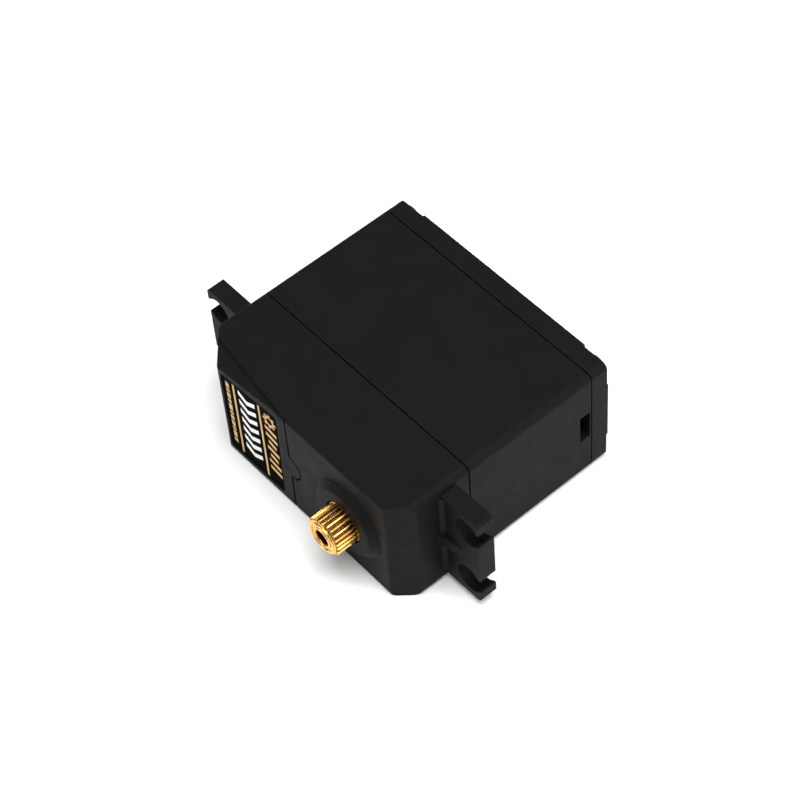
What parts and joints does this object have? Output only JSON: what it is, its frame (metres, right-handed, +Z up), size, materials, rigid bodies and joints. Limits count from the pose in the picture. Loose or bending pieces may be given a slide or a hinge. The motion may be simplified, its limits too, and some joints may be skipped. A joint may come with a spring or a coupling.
{
  "type": "hobby servo motor",
  "caption": "Standard-size hobby servo motor: boxy plastic case with open-ended mounting ears, geared brushed motor inside, and a toothed output shaft turning on ball bearings.",
  "frame": {"origin": "mouth of the screw hole in the outer end of the output spline", "axes": "+Z up out of the upper broad side, +X towards the end nearest the output shaft, -Y along the output shaft out of the case"},
  "size_m": [0.0538, 0.0407, 0.0192],
  "materials": {
    "case_plastic": "fine moulded texture",
    "label_film": "smooth printed film",
    "screw_steel": "dark plated",
    "pin_steel": "ground",
    "bearing_steel": "polished",
    "cage_brass": "stamped",
    "brass": "machined",
    "gear_steel": "sintered",
    "can_steel": "plated",
    "motor_plastic": "moulded",
    "magnet": "ferrite",
    "bronze": "sintered bronze",
    "core_steel": "laminated",
    "copper": "enamelled copper wire",
    "pot_plastic": "moulded",
    "track": "carbon film",
    "pin_tin": "tinned",
    "pot_shaft_plastic": "moulded",
    "board_green": "solder mask",
    "chip_black": "moulded",
    "capacitor_tan": "moulded"
  },
  "bodies": {
    "case": {"gear_case": "case_plastic", "middle_case": "case_plastic", "bottom_cover": "case_plastic", "case_screw_1": "screw_steel", "case_screw_2": "screw_steel", "case_screw_3": "screw_steel", "case_screw_4": "screw_steel", "label_plate": "label_film", "gear_pin": "pin_steel", "output_bearing_outer": "bearing_steel", "shaft_bearing_outer": "bearing_steel", "motor_can": "can_steel", "motor_end_cap": "motor_plastic", "motor_magnets": "magnet", "front_bushing": "bronze", "rear_bushing": "bronze", "motor_brushes": "bronze", "motor_terminals": "pin_tin", "motor_screws": "screw_steel", "pot_housing": "pot_plastic", "pot_track": "track", "pot_nut": "pin_tin", "pot_pins": "pin_tin", "control_board": "board_green", "controller_chip": "chip_black", "driver_chips": "chip_black", "capacitor": "capacitor_tan", "small_parts": "capacitor_tan", "cable_pads": "pin_tin"},
    "rotor": {"motor_shaft": "pin_steel", "armature_core": "core_steel", "armature_windings": "copper", "commutator": "copper", "motor_pinion": "brass"},
    "gear_1": {"gear_1_wheel": "brass", "gear_1_pinion": "gear_steel"},
    "gear_2": {"gear_2_wheel": "brass", "gear_2_pinion": "gear_steel"},
    "gear_3": {"gear_3_wheel": "brass", "gear_3_pinion": "gear_steel"},
    "output": {"output_gear": "brass", "stop_pin": "pin_steel", "output_shaft": "brass", "output_bearing_inner": "bearing_steel", "shaft_bearing_inner": "bearing_steel", "pot_shaft": "pot_shaft_plastic", "pot_wiper": "bronze"},
    "output_ball_set": {"output_bearing_balls": "bearing_steel", "output_bearing_cage": "cage_brass"},
    "shaft_ball_set": {"shaft_bearing_balls": "bearing_steel", "shaft_bearing_cage": "cage_brass"}
  },
  "joints": [
    {"name": "motor_spin", "type": "hinge", "parent": "case", "child": "rotor", "pos_m": [-0.019, 0.0267, 0], "axis": [0, -1, 0], "range_deg": [-14270, 14270]},
    {"name": "gear_1_spin", "type": "hinge", "parent": "case", "child": "gear_1", "pos_m": [-0.01, 0.0147, 0], "axis": [0, -1, 0], "range_deg": [-2854.01, 2854.01]},
    {"name": "gear_2_spin", "type": "hinge", "parent": "case", "child": "gear_2", "pos_m": [0, 0.0127, 0], "axis": [0, -1, 0], "range_deg": [-768.4, 768.4]},
    {"name": "gear_3_spin", "type": "hinge", "parent": "case", "child": "gear_3", "pos_m": [-0.01, 0.0107, 0], "axis": [0, -1, 0], "range_deg": [-269.99, 269.99]},
    {"name": "output_turn", "type": "hinge", "parent": "case", "child": "output", "pos_m": [0, 0.0067, 0], "axis": [0, -1, 0], "range_deg": [-90, 90]},
    {"name": "output_balls_roll", "type": "hinge", "parent": "case", "child": "output_ball_set", "pos_m": [0, 0.0056, 0], "axis": [0, -1, 0], "range_deg": [-38.26, 38.26]},
    {"name": "shaft_balls_roll", "type": "hinge", "parent": "case", "child": "shaft_ball_set", "pos_m": [0, 0.0176, 0], "axis": [0, -1, 0], "range_deg": [-31.92, 31.92]}
  ],
  "couplings": [
    {"joint": "gear_1_spin", "follows": "motor_spin", "ratio": -0.2},
    {"joint": "gear_2_spin", "follows": "motor_spin", "ratio": 0.053846},
    {"joint": "gear_3_spin", "follows": "motor_spin", "ratio": -0.018919},
    {"joint": "output_turn", "follows": "motor_spin", "ratio": 0.0063063},
    {"joint": "output_balls_roll", "follows": "motor_spin", "ratio": 0.0026802},
    {"joint": "shaft_balls_roll", "follows": "motor_spin", "ratio": 0.0022359}
  ]
}
